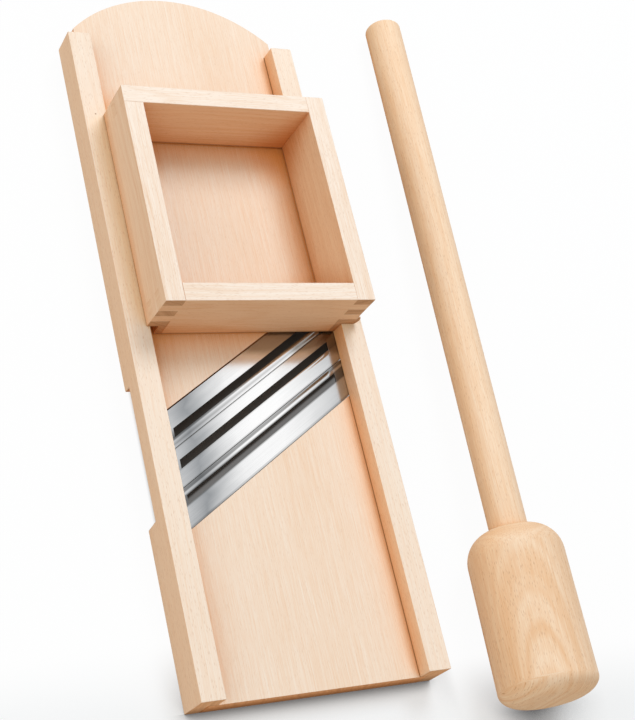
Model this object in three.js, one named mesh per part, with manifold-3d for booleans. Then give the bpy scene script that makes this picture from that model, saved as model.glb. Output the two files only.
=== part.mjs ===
// Cabbage shredder: a slicing board with three slotted knives, the box that slides on it, and a stomper.
// Millimetres. X runs across the board, Y along it towards the arched end, and Z up out of its face.
// The origin is on the underside, at the middle of the board's width and overall length.
import * as THREE from 'three';
import { mergeVertices } from 'three/addons/utils/BufferGeometryUtils.js';
import Module from 'manifold-3d';

const wasm = await Module();
wasm.setup();

// Slicing board
const overallLength = 601;
const railLength = 550;
const railWidth = 19;
const railDepth = 33;
const gapBetweenRails = 164;
const rebateWidth = 7.5;
const boardThickness = 18;
const boardSideGap = 0.3;
const archRise = 36.5;

// Notch in the underside of each rail, beside the knives. Above it the rail's underside stays higher.
const notchLength = 107;
const notchDepth = 15.5;
const notchRamp = 1.5;
const notchFromLowerEnd = 135.5;
const upperRailRise = 7;

// Knives
const knifeAngle = THREE.MathUtils.degToRad(32.5);
const knifeCount = 3;
const knifeWidth = 26;
const knifeSheet = 1;
const knifeGap = 0.5;
const knivesFromLowerEnd = 176;
const slotMargin = 8.5;
const lipFade = 7;
const lipRise = 1.7;
const edgeSheet = 0.35;

// Across each knife: how far from its upper edge the slot starts, the slot's width, and the lip's width
const upperSlotFrom = 13.6;
const upperSlotWidth = 6.1;
const upperLipWidth = 6;
const middleSlotFrom = 8.3;
const middleSlotWidth = 6.1;
const middleLipWidth = 3.2;
const middleLipRise = 0.9;
const lowerSlotFrom = 5.2;
const lowerSlotWidth = 6.1;
const lowerLipWidth = 4.7;

// Screws
const screwGap = 0.3;
const slotCut = 0.8;
const knifeScrew = { shank: 1.5, head: 3, headHeight: 1.8, length: 12, tip: 3 };
const boardScrew = { shank: 1.6, head: 3.1, headHeight: 2.2, length: 28, tip: 4 };
const boardScrewSunk = 0.3;
const boardScrewFromEnd = 32;
const boardScrewFromKnives = 26;
const crownShare = 0.6;

// Sliding box
const boxFromLowerEnd = 284;
const boxLength = 187;
const boxHeight = 42.2;
const sideWall = 16;
const endWall = 15;
const boxOverlap = 6.5;
const boxPlay = 3.5;
const boxShift = 3.2;
const boxRideGap = 0.3;
const tongueClearance = 2;
const fingerCount = 5;
const beadTall = 12.6;
const beadProud = 3.5;

// Stomper
const stomperLength = 632;
const headLength = 135.6;
const headRadius = 38.9;
const headNeckRadius = 38.4;
const shoulderTall = 23.5;
const shoulderFlat = 0.8;
const footRound = 20;
const footTall = 12;
const handleRadius = 15.5;
const handleTopRadius = 16.1;
const handleRound = 3.2;
const socketDepth = 45;
const socketGap = 0.3;
const stomperFromBoard = 33.6;
const stomperPastLowerEnd = 36.3;
const stomperTurn = THREE.MathUtils.degToRad(3.74);

// Cuts run this far past the face that they open, and points closer than the weld are one
const overrun = 2;
const weld = 0.0001;

// Counts of flats on round forms
const archSteps = 28;
const screwFlats = 16;
const handleFlats = 32;
const headFlats = 48;
const footSteps = 6;
const shoulderSteps = 8;
const handleSteps = 4;
const beadSteps = 8;

// Places worked out from the sizes
const lowerEnd = -overallLength / 2;
const upperEnd = overallLength / 2;
const railTop = lowerEnd + railLength;
const innerSide = gapBetweenRails / 2;
const outerSide = innerSide + railWidth;
const rebateSide = innerSide + rebateWidth;
const boardSide = rebateSide - boardSideGap;
const slope = Math.tan(knifeAngle);
const slant = Math.cos(knifeAngle);
const knifePitch = knifeWidth + knifeGap;
const windowWidth = knifeCount * knifePitch + knifeGap;
const windowLower = lowerEnd + knivesFromLowerEnd;
const windowUpper = windowLower + windowWidth / slant;
const tabMiddle = innerSide + rebateWidth / 2;

const beech = new THREE.MeshStandardMaterial({ color: 0xe8c79c, roughness: 0.6, metalness: 0 });
const steel = new THREE.MeshStandardMaterial({ color: 0xc9ccd0, roughness: 0.25, metalness: 1 });
const zinc = new THREE.MeshStandardMaterial({ color: 0xb4b0a6, roughness: 0.4, metalness: 1 });

// A closed geometry as a solid that can be cut and joined
function solidOf(geometry) {
  const bare = geometry.clone();
  const extras = Object.keys(bare.attributes).filter((name) => name !== 'position');
  extras.forEach((name) => bare.deleteAttribute(name));
  const merged = mergeVertices(bare, weld);
  const corners = [];
  for (let face = 0; face < merged.index.count; face += 3) {
    const [a, b, c] = merged.index.array.slice(face, face + 3);
    if (a !== b && b !== c && c !== a) corners.push(a, b, c);
  }
  const vertProperties = new Float32Array(merged.attributes.position.array);
  return new wasm.Manifold(new wasm.Mesh({ numProp: 3, vertProperties, triVerts: new Uint32Array(corners) }));
}

function geometryOf(solid) {
  const { vertProperties, triVerts } = solid.getMesh();
  const geometry = new THREE.BufferGeometry();
  geometry.setAttribute('position', new THREE.BufferAttribute(new Float32Array(vertProperties), 3));
  geometry.setIndex(new THREE.BufferAttribute(new Uint32Array(triVerts), 1));
  geometry.computeVertexNormals();
  return geometry;
}

const cut = (solid, ...tools) => tools.reduce((rest, tool) => rest.subtract(tool), solid);
const join = (solid, ...others) => others.reduce((whole, other) => whole.add(other), solid);

// Turns an outline's own plane and depth into the three axes: each pushes along the axis it is named after
const pushAlong = {
  x: new THREE.Matrix4().set(0, 0, 1, 0, 1, 0, 0, 0, 0, 1, 0, 0, 0, 0, 0, 1),
  y: new THREE.Matrix4().set(0, 1, 0, 0, 0, 0, 1, 0, 1, 0, 0, 0, 0, 0, 0, 1),
  z: new THREE.Matrix4(),
};

// A straight bar of one outline. Along x the outline is in (y, z), along y in (z, x), along z in (x, y).
function prism(axis, outline, from, to) {
  const shape = new THREE.Shape(outline.map(([a, b]) => new THREE.Vector2(a, b)));
  const geometry = new THREE.ExtrudeGeometry(shape, { depth: to - from, bevelEnabled: false });
  geometry.translate(0, 0, from);
  geometry.applyMatrix4(pushAlong[axis]);
  return solidOf(geometry);
}

function block([x0, y0, z0], [x1, y1, z1]) {
  return prism('z', [[x0, y0], [x1, y0], [x1, y1], [x0, y1]], z0, z1);
}

// A turned solid round Y, from a profile of (radius, height) points that starts and ends on the axis
function turned(profile, flats) {
  return solidOf(new THREE.LatheGeometry(profile.map(([r, h]) => new THREE.Vector2(r, h)), flats));
}

// Points of a round in a profile, wide and tall from its centre, from one angle to another
function roundPoints(centre, wide, tall, from, to, steps) {
  return Array.from({ length: steps + 1 }, (_, step) => {
    const angle = from + (to - from) * step / steps;
    return [centre[0] + wide * Math.cos(angle), centre[1] + tall * Math.sin(angle)];
  });
}

// Screws point up, with the head at the underside and the tip at the top
const pointUp = new THREE.Matrix4().makeRotationX(-Math.PI / 2);

function screwBody(profile, x, y, headFace, height) {
  const geometry = new THREE.LatheGeometry(profile.map(([r, h]) => new THREE.Vector2(r, h)), screwFlats);
  geometry.applyMatrix4(pointUp);
  geometry.translate(x, y, headFace + height);
  return solidOf(geometry);
}

function driverSlot(screw, x, y, headFace) {
  const half = slotCut / 2;
  const reach = screw.head + overrun;
  const depth = screw.headHeight / 2;
  return block([x - reach, y - half, headFace - overrun], [x + reach, y + half, headFace + depth]);
}

// Flat-headed wood screw; spread widens it into the hole that it is driven in
function sunkScrew(screw, x, y, headFace, spread = 0) {
  const { shank, head, headHeight, length, tip } = screw;
  const low = -spread;
  const mouth = spread > 0 ? overrun : 0;
  const profile = [
    [0, low], [shank + spread, tip + low], [shank + spread, length - headHeight - spread],
    [head + spread, length], [head + spread, length + mouth], [0, length + mouth],
  ];
  return screwBody(profile, x, y, headFace, length);
}

// Pan-headed screw that clamps a knife's end; its head hangs below the sheet
function panScrew(screw, x, y, sheetFace) {
  const { shank, head, headHeight, length, tip } = screw;
  const rim = headHeight / 2;
  const crown = head * crownShare;
  const profile = [
    [0, 0], [shank, tip], [shank, length], [head, length], [head, length + rim],
    [crown, length + headHeight], [0, length + headHeight],
  ];
  return screwBody(profile, x, y, sheetFace, length);
}

function shankHole(screw, x, y, from) {
  const radius = screw.shank + screwGap;
  const profile = [[0, 0], [radius, 0], [radius, screw.length + overrun], [0, screw.length + overrun]];
  return screwBody(profile, x, y, from - overrun + screwGap, screw.length + overrun);
}

const group = new THREE.Group();

function add(name, solid, material, parent = group) {
  const mesh = new THREE.Mesh(geometryOf(solid), material);
  mesh.name = name;
  parent.add(mesh);
  return mesh;
}

// Place along the board of a point that lies some way across the knives, from their window's upper edge
const alongAt = (x, acrossKnives) => windowUpper + slope * x - acrossKnives / slant;

// Where the board screws stand: near both ends of each board, through its edges into the rails
function boardScrewPlaces(side) {
  const x = side * tabMiddle;
  return {
    lower: [[x, lowerEnd + boardScrewFromEnd], [x, alongAt(x, windowWidth) - boardScrewFromKnives]],
    upper: [[x, alongAt(x, 0) + boardScrewFromKnives], [x, railTop - boardScrewFromEnd]],
  };
}

// Where each knife's end is screwed to a rail
function knifeScrewPlaces(side) {
  const x = side * tabMiddle;
  const middle = knifeGap + knifeWidth / 2;
  return Array.from({ length: knifeCount }, (_, i) => [x, alongAt(x, middle + i * knifePitch)]);
}

const sunkHole = ([x, y]) => sunkScrew(boardScrew, x, y, boardScrewSunk, screwGap);
const tabHole = ([x, y]) => shankHole(knifeScrew, x, y, boardThickness - knifeSheet);

function rail(side) {
  const section = [
    [0, side * outerSide], [0, side * rebateSide], [boardThickness, side * rebateSide],
    [boardThickness, side * innerSide], [railDepth, side * innerSide], [railDepth, side * outerSide],
  ];
  const notchStart = lowerEnd + notchFromLowerEnd;
  const notchEnd = notchStart + notchLength;
  const notchOutline = [
    [notchStart, -overrun], [notchStart, 0], [notchStart + notchRamp, notchDepth],
    [notchEnd, notchDepth], [notchEnd, upperRailRise],
    [railTop + overrun, upperRailRise], [railTop + overrun, -overrun],
  ];
  const reach = outerSide + overrun;
  const notch = prism('x', notchOutline, side < 0 ? -reach : 0, side < 0 ? 0 : reach);
  const places = boardScrewPlaces(side);
  const holes = [...places.lower, ...places.upper].map(sunkHole).concat(knifeScrewPlaces(side).map(tabHole));
  return cut(prism('y', section, lowerEnd, railTop), notch, ...holes);
}

// The arched end is one arc through the board's two shoulders and its apex
function archPoints() {
  const radius = (boardSide ** 2 + archRise ** 2) / (2 * archRise);
  const half = Math.asin(boardSide / radius);
  const centre = [0, upperEnd - radius];
  return roundPoints(centre, radius, radius, Math.PI / 2 - half, Math.PI / 2 + half, archSteps);
}

function upperBoard() {
  const outline = [[-boardSide, alongAt(-boardSide, 0)], [boardSide, alongAt(boardSide, 0)], ...archPoints()];
  const holes = [-1, 1].flatMap((side) => boardScrewPlaces(side).upper.map(sunkHole));
  return cut(prism('z', outline, 0, boardThickness), ...holes);
}

function lowerBoard() {
  const outline = [
    [-boardSide, lowerEnd], [boardSide, lowerEnd],
    [boardSide, alongAt(boardSide, windowWidth)], [-boardSide, alongAt(-boardSide, windowWidth)],
  ];
  const holes = [-1, 1].flatMap((side) => boardScrewPlaces(side).lower.map(sunkHole));
  return cut(prism('z', outline, 0, boardThickness), ...holes);
}

// Each knife has a slot, and a lip raised along one side of it whose ground edge cuts
const knives = [
  {
    name: 'upper_knife', slotFrom: upperSlotFrom, slotWidth: upperSlotWidth,
    lipWidth: upperLipWidth, rise: lipRise, lipBelow: true,
  },
  {
    name: 'middle_knife', slotFrom: middleSlotFrom, slotWidth: middleSlotWidth,
    lipWidth: middleLipWidth, rise: middleLipRise, lipBelow: true,
  },
  {
    name: 'lower_knife', slotFrom: lowerSlotFrom, slotWidth: lowerSlotWidth,
    lipWidth: lowerLipWidth, rise: lipRise, lipBelow: false,
  },
];

// The lip's section from its cutting edge outwards: place across the lip, height, and thickness of the sheet
const lipShares = [
  [0, 0.66, 0], [0.14, 0.88, 1], [0.34, 1, 1], [0.54, 0.86, 1], [0.74, 0.48, 1], [0.9, 0.12, 1], [1, 0, 1],
];
// The lip rises from the sheet near both ends of the slot
const fadeShares = [0, 0.25, 0.5, 0.75, 1];

// Lines along the knife, in order from its upper edge: each has its place across, its rise and its sheet
function linesAcross({ slotFrom, slotWidth, lipWidth, rise, lipBelow }) {
  const slotEnd = slotFrom + slotWidth;
  const [near, far, away] = lipBelow ? [slotEnd, slotFrom, 1] : [slotFrom, slotEnd, -1];
  const lip = lipShares.map(([place, height, full]) => ({
    across: near + away * place * lipWidth,
    rise: height * rise,
    thin: (knifeSheet - edgeSheet) * (1 - full),
  }));
  const flat = [0, far, knifeWidth].map((across) => ({ across, rise: 0, thin: 0 }));
  return [...flat, ...lip].sort((a, b) => a.across - b.across);
}

// Lines across the knife, in order from the left end: each has its place and how far the lip has risen
function linesAlong(end) {
  const slotHalf = innerSide - slotMargin;
  const left = fadeShares.map((share) => {
    const risen = THREE.MathUtils.smoothstep(share, 0, 1);
    return { x: -slotHalf + share * lipFade, risen };
  });
  const right = left.map(({ x, risen }) => ({ x: -x, risen })).reverse();
  return [{ x: -end, risen: 0 }, ...left, ...right, { x: end, risen: 0 }];
}

// A knife is one sheet on a grid of lines. The cells of the slot are left out, and every open side is closed.
function knifeSheetSolid(index) {
  const knife = knives[index];
  const across = linesAcross(knife);
  const along = linesAlong(boardSide);
  const upperEdge = knifeGap + index * knifePitch;
  const slotEnd = knife.slotFrom + knife.slotWidth;
  const positions = [];
  const faces = [];
  const corner = (i, j, face) => 2 * (i * across.length + j) + face;
  for (const { x, risen } of along) {
    for (const line of across) {
      const y = alongAt(x, upperEdge + line.across);
      const top = boardThickness + line.rise * risen;
      const bottom = top - knifeSheet + line.thin * risen;
      positions.push(x, y, bottom, x, y, top);
    }
  }
  const isSlot = (i, j) => i > 0 && i < along.length - 2 && across[j].across >= knife.slotFrom
    && across[j + 1].across <= slotEnd;
  const inside = (place, lines) => place >= 0 && place < lines.length - 1;
  const isSheet = (i, j) => inside(i, along) && inside(j, across) && !isSlot(i, j);
  const quad = (a, b, c, d) => faces.push(a, b, c, a, c, d);
  const side = (a, b) => quad(corner(...b, 0), corner(...a, 0), corner(...a, 1), corner(...b, 1));
  for (let i = 0; i < along.length - 1; i += 1) {
    for (let j = 0; j < across.length - 1; j += 1) {
      if (!isSheet(i, j)) continue;
      const [a, b, c, d] = [[i, j], [i, j + 1], [i + 1, j + 1], [i + 1, j]];
      quad(...[a, b, c, d].map((place) => corner(...place, 1)));
      quad(...[a, d, c, b].map((place) => corner(...place, 0)));
      if (!isSheet(i - 1, j)) side(b, a);
      if (!isSheet(i + 1, j)) side(d, c);
      if (!isSheet(i, j - 1)) side(a, d);
      if (!isSheet(i, j + 1)) side(c, b);
    }
  }
  const geometry = new THREE.BufferGeometry();
  geometry.setAttribute('position', new THREE.BufferAttribute(new Float32Array(positions), 3));
  geometry.setIndex(faces);
  return solidOf(geometry);
}

function knifeWithHoles(index) {
  const holes = [-1, 1].map((side) => tabHole(knifeScrewPlaces(side)[index]));
  return cut(knifeSheetSolid(index), ...holes);
}

add('left_rail', rail(-1), beech);
add('right_rail', rail(1), beech);
add('upper_board', upperBoard(), beech);
add('lower_board', lowerBoard(), beech);
knives.forEach(({ name }, index) => add(name, knifeWithHoles(index), steel));

for (const [sideName, side] of [['left', -1], ['right', 1]]) {
  knifeScrewPlaces(side).forEach(([x, y], i) => {
    const sheetFace = boardThickness - knifeSheet;
    add(`${sideName}_knife_screw_${i + 1}`, panScrew(knifeScrew, x, y, sheetFace), zinc);
  });
  const places = boardScrewPlaces(side);
  [...places.lower, ...places.upper].forEach(([x, y], i) => {
    const screw = sunkScrew(boardScrew, x, y, boardScrewSunk);
    add(`${sideName}_board_screw_${i + 1}`, cut(screw, driverSlot(boardScrew, x, y, boardScrewSunk)), zinc);
  });
}

// Sliding box: finger joints at its corners, a rabbet over each rail and a tongue down between the rails
const box = new THREE.Group();
box.position.x = boxShift;
group.add(box);

const boxSide = innerSide + boxOverlap;
const boxInner = boxSide - sideWall;
const tongueSide = innerSide - boxPlay;
const tongueFoot = boardThickness + tongueClearance;
const ride = railDepth + boxRideGap;
const boxLow = lowerEnd + boxFromLowerEnd;
const boxHigh = boxLow + boxLength;
const fingerLevels = Array.from({ length: fingerCount + 1 }, (_, k) => ride + boxHeight * k / fingerCount);

// A wall's stepped edge up through the finger levels: even fingers reach one way, odd ones the other
const steppedEdge = (even, odd) => fingerLevels.slice(0, -1)
  .flatMap((level, k) => [level, fingerLevels[k + 1]].map((z) => [k % 2 ? odd : even, z]));

// The wall whose lowest finger reaches the corner's outside also has its tongue there. At the upper left
// corner that is the end wall, and at the other three the side wall.
function sideWallSolid(side) {
  const highEdges = [boxHigh, boxHigh - endWall];
  if (side < 0) highEdges.reverse();
  const low = steppedEdge(boxLow, boxLow + endWall);
  const high = steppedEdge(...highEdges);
  const [from, to] = side < 0 ? [-boxSide, -boxInner] : [boxInner, boxSide];
  const wall = prism('x', [...high, ...low.reverse()], from, to);
  const [near, far] = side < 0 ? [-tongueSide, -boxInner] : [boxInner, tongueSide];
  return join(wall, block([near, boxLow, tongueFoot], [far, highEdges[0], ride + overrun]));
}

function endWallSolid(from, leftEdges) {
  const right = steppedEdge(boxInner, boxSide).map(([x, z]) => [z, x]);
  const left = steppedEdge(...leftEdges).map(([x, z]) => [z, -x]);
  const footLeft = -Math.min(leftEdges[0], tongueSide);
  const foot = [[ride, footLeft], [tongueFoot, footLeft], [tongueFoot, boxInner]];
  return prism('y', [...left.reverse(), ...foot, ...right], from, from + endWall);
}

// A rounded bead runs along the foot of the right wall, outside. Its root is in the lowest finger.
function bead() {
  const middle = [boxSide, ride + beadTall / 2];
  const round = roundPoints(middle, beadProud, beadTall / 2, -Math.PI / 2, Math.PI / 2, beadSteps);
  const root = boxSide - overrun;
  const rootTop = fingerLevels[1];
  const outline = [...round, [boxSide, rootTop], [root, rootTop], [root, ride]].map(([x, z]) => [z, x]);
  return prism('y', outline, boxLow, boxHigh);
}

add('carriage_left_wall', sideWallSolid(-1), beech, box);
add('carriage_right_wall', join(sideWallSolid(1), bead()), beech, box);
add('carriage_lower_wall', endWallSolid(boxLow, [boxInner, boxSide]), beech, box);
add('carriage_upper_wall', endWallSolid(boxHigh - endWall, [boxSide, boxInner]), beech, box);

// Stomper, turned round its own Y from the foot of the head to the end of the handle
const quarter = Math.PI / 2;
const socketRadius = handleRadius + socketGap;
const shoulderWide = headNeckRadius - socketRadius - shoulderFlat;
const shoulderCentre = [headNeckRadius - shoulderWide, headLength - shoulderTall];
const headOutline = [
  ...roundPoints([headRadius - footRound, footTall], footRound, footTall, -quarter, 0, footSteps),
  ...roundPoints(shoulderCentre, shoulderWide, shoulderTall, 0, quarter, shoulderSteps),
];
const socketFoot = headLength - socketDepth;
const headProfile = [
  [0, 0], ...headOutline, [socketRadius, headLength], [socketRadius, socketFoot], [0, socketFoot],
];
const handleFoot = socketFoot + socketGap;
const endRing = stomperLength - handleRound;
const handleEndCentre = [handleTopRadius - handleRound, endRing];
const handleEnd = roundPoints(handleEndCentre, handleRound, handleRound, 0, quarter, handleSteps);
const handleProfile = [
  [0, handleFoot], [handleRadius, handleFoot], [handleRadius, headLength], ...handleEnd, [0, stomperLength],
];

// It lies on the floor on its head and on the handle's end, so it tilts as far as the head's shoulder asks
const tilt = Math.atan(Math.max(...headOutline.map(([r, h]) => (r - handleTopRadius) / (endRing - h))));
const stomper = new THREE.Group();
stomper.rotation.set(-tilt, 0, -stomperTurn, 'ZXY');
stomper.position.set(
  outerSide + stomperFromBoard + headRadius,
  lowerEnd - stomperPastLowerEnd,
  endRing * Math.sin(tilt) + handleTopRadius * Math.cos(tilt),
);
group.add(stomper);

add('stomper_head', turned(headProfile, headFlats), beech, stomper);
add('stomper_handle', turned(handleProfile, handleFlats), beech, stomper);

export default group;
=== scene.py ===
"""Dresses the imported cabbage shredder: beech boards and box, three slotted knives, screws and the stomper."""

import math

import bmesh
import bpy
from mathutils import Matrix, Vector


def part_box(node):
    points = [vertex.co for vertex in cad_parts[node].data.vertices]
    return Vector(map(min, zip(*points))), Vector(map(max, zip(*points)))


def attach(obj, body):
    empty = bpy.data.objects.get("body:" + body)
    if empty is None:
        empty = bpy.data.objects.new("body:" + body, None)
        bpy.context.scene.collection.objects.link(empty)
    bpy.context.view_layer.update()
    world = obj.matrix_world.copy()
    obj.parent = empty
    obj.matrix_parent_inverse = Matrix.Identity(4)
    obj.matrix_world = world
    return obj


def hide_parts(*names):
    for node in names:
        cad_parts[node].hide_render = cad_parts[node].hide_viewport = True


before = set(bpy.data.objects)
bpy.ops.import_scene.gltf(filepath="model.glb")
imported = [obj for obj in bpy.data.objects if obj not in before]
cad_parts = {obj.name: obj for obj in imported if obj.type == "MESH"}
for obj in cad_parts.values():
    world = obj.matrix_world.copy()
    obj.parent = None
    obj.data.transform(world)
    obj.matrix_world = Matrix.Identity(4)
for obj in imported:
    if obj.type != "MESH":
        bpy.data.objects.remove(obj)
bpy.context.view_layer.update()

bl_info = {
    "name": "Cabbage shredder",
    "version": (1, 0, 0),
    "blender": (4, 5, 0),
    "location": "View3D > Sidebar > Shredder",
    "description": "Builds the looks of a wooden cabbage shredder with its box and stomper",
    "category": "Object",
}

MM = 0.001
TO_MM = 1000.0
WELD = 0.00001
FLAT_ANGLE = math.radians(0.5)
SHARP_ANGLE = math.radians(30)
WOOD_SMOOTH = math.radians(40)
METAL_SMOOTH = math.radians(35)
ROUNDING_STEPS = 3

WHITE = (1.0, 1.0, 1.0, 1.0)
X_AXIS = (1.0, 0.0, 0.0)
Y_AXIS = (0.0, 1.0, 0.0)
Z_AXIS = (0.0, 0.0, 1.0)

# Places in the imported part, in millimetres
INNER_SIDE = 82.0
RAIL_FACE = 33.0
BOARD_FACE = 18.0
LOWER_END = -300.5
RAIL_TOP = 249.5
BOARD_SIDE = 89.2
TAB_MIDDLE = 85.75
BOX_SHIFT = 3.2
BOX_FOOT = 20.0
BOX_RIDE = 33.3

# A pin's mark on the left rail, as its x, y and radius in millimetres
PIN_MARK = (-91.4, 171.3, 0.9)

# For each wooden piece, where the heart of its tree lies, in millimetres across the piece and deep from it
RAILS = {"left_rail": (160.0, -24.0), "right_rail": (-190.0, 36.0)}
BOARDS = {"upper_board": (260.0, -60.0), "lower_board": (240.0, -75.0)}
BOX_SIDES = {"carriage_left_wall": (-150.0, 64.0), "carriage_right_wall": (170.0, 50.0)}
BOX_ENDS = {"carriage_lower_wall": (50.0, 170.0), "carriage_upper_wall": (52.0, -160.0)}

# Colours of the box, the painted shade in its corners, and how much of them each wall's upright faces keep as
# painted shade
BOX_PALE = (0.96, 0.90, 0.84)
BOX_DEEP = (0.855, 0.675, 0.525)
BOX_CORNER_SHADE = (0.81, 0.53, 0.30)
BOX_SIDE_SHADES = {
    "carriage_left_wall": (0.94, 0.765, 0.61),
    "carriage_right_wall": (0.86, 0.695, 0.53),
    "carriage_lower_wall": (0.87, 0.63, 0.435),
    "carriage_upper_wall": (0.87, 0.63, 0.435),
}

# The grain's marks, each as how wide and how long it is, in millimetres
SLOW_BEND = (45.0, 260.0)
SMALL_BEND = (9.0, 90.0)
FIBRE = (0.55, 55.0)
STREAK = (0.45, 11.0)
BROAD = (40.0, 150.0)
FLECK = (0.7, 5.0)
PORE = (0.5, 0.5)

# Growth rings, in millimetres from one band or line to the next
RING_BAND = 3.1
RING_LINE = 6.5

# How much each mark darkens the wood
BAND_SHARE = 0.75
LINE_SHARE = 0.16
FIBRE_SHARE = 1.7
STREAK_SHARE = 0.9
BROAD_SHARE = 0.55

# How far each seed moves a piece through the grain, in millimetres across, along and deep
SEED_STEP = (3.7, 371.0, 1.3)

# How far round it a corner's painted shade reaches, in millimetres
CORNER_REACH = 42.0

# Knives, in millimetres
KNIFE_ANGLE = math.radians(32.5)
KNIFE_WIDTH = 26.0
KNIFE_GAP = 0.5
KNIFE_PITCH = KNIFE_WIDTH + KNIFE_GAP
WINDOW_UPPER = -29.644
SLOT_MARGIN = 8.5
EDGE_SHEET = 0.35
HOLE_RADIUS = 1.8
UPPER_EDGE_ROOM = 0.6

# A lip fades out over this length, in millimetres. Its crest and its ground edge are shares of its width.
LIP_FADE = 7.0
FADE_STEPS = 10
LIP_STEPS = 18
LIP_CREST = 0.34
LIP_GROUND = 0.14
LIP_EDGE_HEIGHT = 0.85

# Each knife's slot, as its place and width across the knife, then its lip's width and rise, and whether the
# lip is below the slot
KNIVES = {
    "upper_knife": (13.6, 6.1, 6.0, 1.7, True),
    "middle_knife": (8.3, 6.1, 3.2, 0.9, True),
    "lower_knife": (5.2, 6.1, 4.7, 0.6, False),
}

# How much of the painted highlight shows on the knives, by place from the board's left inner side, 0, to its
# right one, 1
PAINTED_HIGHLIGHT = [
    (0.02, 0.40), (0.14, 0.0), (0.26, 0.52), (0.36, 0.9),
    (0.46, 1.0), (0.60, 1.0), (0.75, 0.80), (0.96, 0.35),
]

# What the knives keep of their colour in the box's shade, and where it begins along the board
BOX_SHADE = (0.50, 0.46, 0.42)
BOX_SHADE_FROM = -34.0

# Across each knife, the painted light and shade of its steel, as levels by millimetres from its upper edge
PAINTED_KNIFE_BANDS = {
    "upper_knife": [
        (0.0, 0.9), (13.0, 1.0), (19.4, 0.2), (20.7, 0.4), (21.6, 1.0), (23.7, 0.6), (25.0, 0.95),
    ],
    "middle_knife": [
        (0.0, 0.6), (0.8, 1.0), (7.6, 1.0), (14.2, 0.7), (15.6, 1.0), (24.8, 1.0), (26.0, 0.55),
    ],
    "lower_knife": [
        (0.0, 0.6), (0.7, 0.4), (2.2, 0.4), (3.0, 1.0), (4.0, 1.0), (4.9, 0.35), (11.2, 0.3), (12.6, 0.95),
        (24.2, 0.95), (25.0, 0.7), (26.0, 0.6),
    ],
}

# Each kind of screw: how many stand on a side, its form for screw_form, and how far its head's seat is above
# the lowest point, in millimetres
SCREWS = {
    "knife": (3, (1.5, 3.0, 1.8, 12.0, 3.0, True), 1.8),
    "board": (4, (1.6, 3.1, 2.2, 28.0, 4.0, False), 0.0),
}
SCREW_FLATS = 40

# The screws' threads, in millimetres, and the share of the length where they end below the head
THREAD_PITCH = 1.7
THREAD_BITE = 0.24
THREAD_SHARE = 0.36

# The driver slot's length and width, in metres
DRIVER_SLOT = (0.010, 0.0008)

# Stomper, in millimetres
STOMPER_LENGTH = 632.0
HEAD_LENGTH = 135.6
HEAD_RADIUS = 38.9
HEAD_NECK_RADIUS = 38.4
SHOULDER_TALL = 23.5
SHOULDER_FLAT = 0.8
FOOT_ROUND = 20.0
FOOT_TALL = 12.0
HANDLE_RADIUS = 15.5
HANDLE_TOP_RADIUS = 16.1
HANDLE_ROUND = 3.2
SOCKET_DEPTH = 45.0
SOCKET_GAP = 0.3
STOMPER_PLACE = (173.5, -336.8)
STOMPER_TURN = math.radians(3.74)
INSIDE_CAD = 0.998
FOOT_ROOM = 0.16
HEAD_LEAN = -0.0058

# Half the floor's width, and how far it lies below the part, in metres
FLOOR_HALF = 6.0
FLOOR_GAP = 0.0002

# Each lamp's place and width, in metres, and its colour
LAMPS = {
    "key": ((0.52, 1.10, 1.85), 0.9, (1.0, 1.0, 1.0)),
    "fill": ((-2.1, -0.1, 1.35), 2.6, (1.0, 0.93, 0.84)),
    "front": ((0.5, -2.2, 0.9), 1.4, (1.0, 0.93, 0.85)),
}
LAMP_AIM = (0.0, -0.05, 0.0)


class Signal:
    """A socket in a shader. Python's operators add Math nodes, or Vector Math nodes on a vector or colour."""

    def __init__(self, nodes, socket):
        self.nodes = nodes
        self.socket = socket
        self.is_vector = socket.type in ("VECTOR", "RGBA")

    def calculate(self, operation, *values, output=0):
        kind = "VectorMath" if self.is_vector else "Math"
        return self.nodes.add(kind, {"operation": operation}, dict(enumerate(values)), output)

    def scaled(self, other):
        return self.nodes.add("VectorMath", {"operation": "SCALE"}, {"Vector": self, "Scale": other})

    def __add__(self, other):
        return self.calculate("ADD", self, other)

    def __radd__(self, other):
        return self.calculate("ADD", other, self)

    def __sub__(self, other):
        return self.calculate("SUBTRACT", self, other)

    def __rsub__(self, other):
        return self.calculate("SUBTRACT", other, self)

    def __mul__(self, other):
        plain = not isinstance(other, tuple) and not getattr(other, "is_vector", False)
        if self.is_vector and plain:
            return self.scaled(other)
        return self.calculate("MULTIPLY", self, other)

    def __rmul__(self, other):
        return self * other

    def __truediv__(self, other):
        return self.calculate("DIVIDE", self, other)

    def __pow__(self, other):
        return self.calculate("POWER", self, other)

    def __abs__(self):
        return self.calculate("ABSOLUTE", self)

    def __gt__(self, other):
        return self.calculate("GREATER_THAN", self, other)

    def __lt__(self, other):
        return self.calculate("LESS_THAN", self, other)

    def dot(self, other):
        return self.calculate("DOT_PRODUCT", self, tuple(other), output="Value")

    def most(self, other):
        return self.calculate("MAXIMUM", self, other)

    def least(self, other):
        return self.calculate("MINIMUM", self, other)

    def within_one(self):
        return self.most(0.0).least(1.0)

    def rise(self, low, high):
        """0 below low, 1 above high, and a smooth step between."""
        sockets = {"Value": self, "From Min": low, "From Max": high}
        return self.nodes.add("MapRange", {"interpolation_type": "SMOOTHSTEP"}, sockets)


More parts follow.
